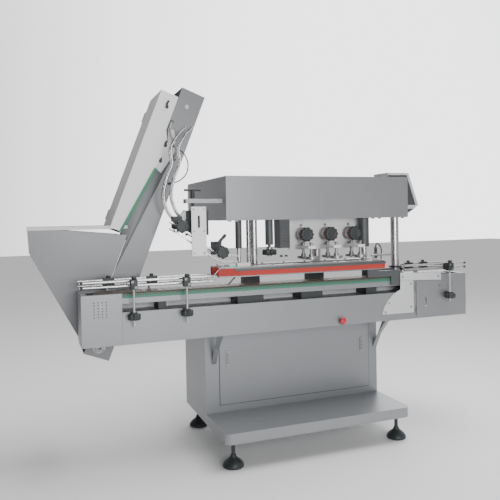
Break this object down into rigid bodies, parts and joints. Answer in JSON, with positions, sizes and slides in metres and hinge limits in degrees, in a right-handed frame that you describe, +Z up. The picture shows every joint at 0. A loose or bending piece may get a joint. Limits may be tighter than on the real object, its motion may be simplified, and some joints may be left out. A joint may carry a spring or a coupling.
{
  "type": "capping machine",
  "caption": "Inline capping machine: conveyor beam on a cabinet, side-grip belts, lifting hood with spindle wheels, inclined cap elevator with hopper, and a cap chute.",
  "frame": {"origin": "on the floor, under the middle of the machine's bounding box", "axes": "+X along the conveyor the way the bottles travel, -Y the operator's side, +Z up"},
  "size_m": [2.48, 1.05, 1.9498],
  "materials": {
    "panel_steel": "satin brushed",
    "light_steel": "fine bead blasted",
    "bright_steel": "polished",
    "black_plastic": "moulded",
    "dark_paint": "satin",
    "belt_rubber": "matte",
    "guide_plastic": "machined",
    "chain_plastic": "moulded",
    "stop_red": "gloss"
  },
  "bodies": {
    "frame": {"plinth": "panel_steel", "levelling_feet": "black_plastic", "cabinet": "panel_steel", "beam": "panel_steel", "tail_cover": "panel_steel", "drive_box": "panel_steel", "brace_struts": "panel_steel", "side_rails": "panel_steel", "green_strips": "guide_plastic", "conveyor_chain": "chain_plastic", "support_blocks": "black_plastic", "belt_plates": "bright_steel", "side_belts": "belt_rubber", "outfeed_guides": "black_plastic", "columns": "bright_steel", "elevator_frame": "panel_steel", "elevator_belt": "guide_plastic", "hopper": "panel_steel", "cap_track": "bright_steel"},
    "tail_sprocket": {"tail_sprocket": "bright_steel"},
    "drive_sprocket": {"drive_sprocket": "bright_steel"},
    "front_belt_pulley": {"front_belt_pulley": "bright_steel"},
    "rear_belt_pulley": {"rear_belt_pulley": "bright_steel"},
    "drive_door": {"drive_door": "panel_steel"},
    "door_lock": {"door_lock": "bright_steel"},
    "elevator_lid": {"elevator_lid": "light_steel"},
    "head_roller": {"head_roller": "bright_steel"},
    "tail_roller": {"tail_roller": "bright_steel"},
    "cabinet_door": {"cabinet_door": "panel_steel"},
    "left_latch": {"left_latch": "bright_steel"},
    "right_latch": {"right_latch": "bright_steel"},
    "emergency_stop": {"emergency_stop": "stop_red"},
    "infeed_front_rail": {"infeed_front_rail": "bright_steel"},
    "infeed_rear_rail": {"infeed_rear_rail": "bright_steel"},
    "outfeed_front_rail": {"outfeed_front_rail": "bright_steel"},
    "outfeed_rear_rail": {"outfeed_rear_rail": "bright_steel"},
    "post_knob_1": {"post_knob_1": "black_plastic"},
    "post_knob_2": {"post_knob_2": "black_plastic"},
    "post_knob_3": {"post_knob_3": "black_plastic"},
    "head": {"hood": "panel_steel", "hood_brackets": "panel_steel", "head_drives": "dark_paint", "head_plate": "light_steel"},
    "lift_handwheel": {"lift_handwheel": "black_plastic"},
    "screw_handle": {"screw_handle": "black_plastic"},
    "chute": {"chute_plate": "light_steel", "chute_rails": "bright_steel", "chute_carriage": "black_plastic"},
    "chute_knob_1": {"chute_knob_1": "black_plastic"},
    "chute_knob_2": {"chute_knob_2": "black_plastic"},
    "operator_box": {"operator_box": "light_steel"},
    "front_spindle_1": {"front_spindle_1": "bright_steel"},
    "rear_spindle_1": {"rear_spindle_1": "bright_steel"},
    "adjusting_knob_1": {"adjusting_knob_1": "black_plastic"},
    "front_spindle_2": {"front_spindle_2": "bright_steel"},
    "rear_spindle_2": {"rear_spindle_2": "bright_steel"},
    "adjusting_knob_2": {"adjusting_knob_2": "black_plastic"},
    "front_spindle_3": {"front_spindle_3": "bright_steel"},
    "rear_spindle_3": {"rear_spindle_3": "bright_steel"},
    "adjusting_knob_3": {"adjusting_knob_3": "black_plastic"}
  },
  "joints": [
    {"name": "conveyor_drive", "type": "hinge", "parent": "frame", "child": "drive_sprocket", "pos_m": [1.12, -0.24, 0.826], "axis": [0, 1, 0], "continuous": true},
    {"name": "conveyor_tail", "type": "hinge", "parent": "frame", "child": "tail_sprocket", "pos_m": [-0.915, -0.24, 0.826], "axis": [0, 1, 0], "continuous": true},
    {"name": "front_belt_drive", "type": "hinge", "parent": "frame", "child": "front_belt_pulley", "pos_m": [0.626, -0.351, 0.96], "axis": [0, 0, 1], "continuous": true},
    {"name": "rear_belt_drive", "type": "hinge", "parent": "frame", "child": "rear_belt_pulley", "pos_m": [0.626, -0.209, 0.96], "axis": [0, 0, 1], "continuous": true},
    {"name": "drive_door_hinge", "type": "hinge", "parent": "frame", "child": "drive_door", "pos_m": [0.867, -0.359, 0.75], "axis": [0, 0, -1], "range_deg": [0, 105]},
    {"name": "door_lock_turn", "type": "hinge", "parent": "drive_door", "child": "door_lock", "pos_m": [1.034, -0.36, 0.815], "axis": [0, 1, 0], "range_deg": [0, 90]},
    {"name": "elevator_lid_hinge", "type": "hinge", "parent": "frame", "child": "elevator_lid", "pos_m": [-0.70992, 0.214, 1.5208], "axis": [-0.3649, 0, -0.9311], "range_deg": [0, 95]},
    {"name": "elevator_drive", "type": "hinge", "parent": "frame", "child": "head_roller", "pos_m": [-0.41135, 0.06, 1.84415], "axis": [0, 1, 0], "continuous": true},
    {"name": "elevator_tail", "type": "hinge", "parent": "frame", "child": "tail_roller", "pos_m": [-0.90576, 0.06, 0.58257], "axis": [0, 1, 0], "continuous": true},
    {"name": "cabinet_door_lift_off", "type": "slide", "parent": "frame", "child": "cabinet_door", "axis": [0, -1, 0], "range_m": [0, 0.25]},
    {"name": "left_latch_turn", "type": "hinge", "parent": "cabinet_door", "child": "left_latch", "pos_m": [-0.237, -0.195, 0.4775], "axis": [0, 1, 0], "range_deg": [0, 90]},
    {"name": "right_latch_turn", "type": "hinge", "parent": "cabinet_door", "child": "right_latch", "pos_m": [0.592, -0.195, 0.4775], "axis": [0, 1, 0], "range_deg": [0, 90]},
    {"name": "emergency_stop_press", "type": "slide", "parent": "frame", "child": "emergency_stop", "axis": [0, 1, 0], "range_m": [0, 0.006], "stiffness_N_per_m": 1500},
    {"name": "infeed_front_height", "type": "slide", "parent": "frame", "child": "infeed_front_rail", "axis": [0, 0, 1], "range_m": [-0.01, 0.03]},
    {"name": "infeed_rear_width", "type": "slide", "parent": "frame", "child": "infeed_rear_rail", "axis": [0, 1, 0], "range_m": [0, 0.02]},
    {"name": "outfeed_front_height", "type": "slide", "parent": "frame", "child": "outfeed_front_rail", "axis": [0, 0, 1], "range_m": [-0.01, 0.03]},
    {"name": "outfeed_rear_width", "type": "slide", "parent": "frame", "child": "outfeed_rear_rail", "axis": [0, 1, 0], "range_m": [0, 0.02]},
    {"name": "post_knob_turn_1", "type": "hinge", "parent": "frame", "child": "post_knob_1", "pos_m": [-0.768, -0.39, 0.772], "axis": [0, 0, 1], "range_deg": [-180, 180]},
    {"name": "post_knob_turn_2", "type": "hinge", "parent": "frame", "child": "post_knob_2", "pos_m": [-0.508, -0.39, 0.772], "axis": [0, 0, 1], "range_deg": [-180, 180]},
    {"name": "post_knob_turn_3", "type": "hinge", "parent": "frame", "child": "post_knob_3", "pos_m": [1.078, -0.39, 0.772], "axis": [0, 0, 1], "range_deg": [-180, 180]},
    {"name": "head_lift", "type": "slide", "parent": "frame", "child": "head", "axis": [0, 0, 1], "range_m": [-0.004, 0.15]},
    {"name": "front_spindle_turn_1", "type": "hinge", "parent": "head", "child": "front_spindle_1", "pos_m": [0.206, -0.33, 1.02], "axis": [0, 0, 1], "continuous": true},
    {"name": "rear_spindle_turn_1", "type": "hinge", "parent": "head", "child": "rear_spindle_1", "pos_m": [0.206, -0.23, 1.02], "axis": [0, 0, 1], "continuous": true},
    {"name": "front_spindle_turn_2", "type": "hinge", "parent": "head", "child": "front_spindle_2", "pos_m": [0.359, -0.33, 1.02], "axis": [0, 0, 1], "continuous": true},
    {"name": "rear_spindle_turn_2", "type": "hinge", "parent": "head", "child": "rear_spindle_2", "pos_m": [0.359, -0.23, 1.02], "axis": [0, 0, 1], "continuous": true},
    {"name": "front_spindle_turn_3", "type": "hinge", "parent": "head", "child": "front_spindle_3", "pos_m": [0.512, -0.33, 1.02], "axis": [0, 0, 1], "continuous": true},
    {"name": "rear_spindle_turn_3", "type": "hinge", "parent": "head", "child": "rear_spindle_3", "pos_m": [0.512, -0.23, 1.02], "axis": [0, 0, 1], "continuous": true},
    {"name": "adjusting_knob_turn_1", "type": "hinge", "parent": "head", "child": "adjusting_knob_1", "pos_m": [0.22, -0.25, 1.137], "axis": [0, 1, 0], "range_deg": [-180, 180]},
    {"name": "adjusting_knob_turn_2", "type": "hinge", "parent": "head", "child": "adjusting_knob_2", "pos_m": [0.373, -0.25, 1.137], "axis": [0, 1, 0], "range_deg": [-180, 180]},
    {"name": "adjusting_knob_turn_3", "type": "hinge", "parent": "head", "child": "adjusting_knob_3", "pos_m": [0.526, -0.25, 1.137], "axis": [0, 1, 0], "range_deg": [-180, 180]},
    {"name": "lift_handwheel_turn", "type": "hinge", "parent": "head", "child": "lift_handwheel", "pos_m": [0, -0.232, 1.05], "axis": [0, 0, 1], "range_deg": [-180, 180]},
    {"name": "chute_screw_turn", "type": "hinge", "parent": "head", "child": "screw_handle", "pos_m": [-0.43, -0.239, 1.36], "axis": [0, 0, 1], "range_deg": [-544, 2704]},
    {"name": "chute_height", "type": "slide", "parent": "head", "child": "chute", "axis": [0, 0, 1], "range_m": [-0.006, 0.03]},
    {"name": "chute_knob_turn_1", "type": "hinge", "parent": "chute", "child": "chute_knob_1", "pos_m": [-0.516, -0.35, 1.199], "axis": [0, 1, 0], "range_deg": [-180, 180]},
    {"name": "chute_knob_turn_2", "type": "hinge", "parent": "chute", "child": "chute_knob_2", "pos_m": [-0.306, -0.35, 1.062], "axis": [0, 1, 0], "range_deg": [-180, 180]},
    {"name": "operator_box_swivel", "type": "hinge", "parent": "head", "child": "operator_box", "pos_m": [0.905, 0.06, 1.38], "axis": [0, 0, 1], "range_deg": [-25, 20]}
  ],
  "couplings": [
    {"joint": "conveyor_tail", "follows": "conveyor_drive", "ratio": 1},
    {"joint": "rear_belt_drive", "follows": "front_belt_drive", "ratio": -1},
    {"joint": "elevator_tail", "follows": "elevator_drive", "ratio": 1},
    {"joint": "chute_screw_turn", "follows": "chute_height", "rad_per_m": 1570.8},
    {"joint": "front_spindle_turn_2", "follows": "front_spindle_turn_1", "ratio": 1},
    {"joint": "front_spindle_turn_3", "follows": "front_spindle_turn_1", "ratio": 1},
    {"joint": "rear_spindle_turn_1", "follows": "front_spindle_turn_1", "ratio": -1},
    {"joint": "rear_spindle_turn_2", "follows": "front_spindle_turn_1", "ratio": -1},
    {"joint": "rear_spindle_turn_3", "follows": "front_spindle_turn_1", "ratio": -1}
  ]
}
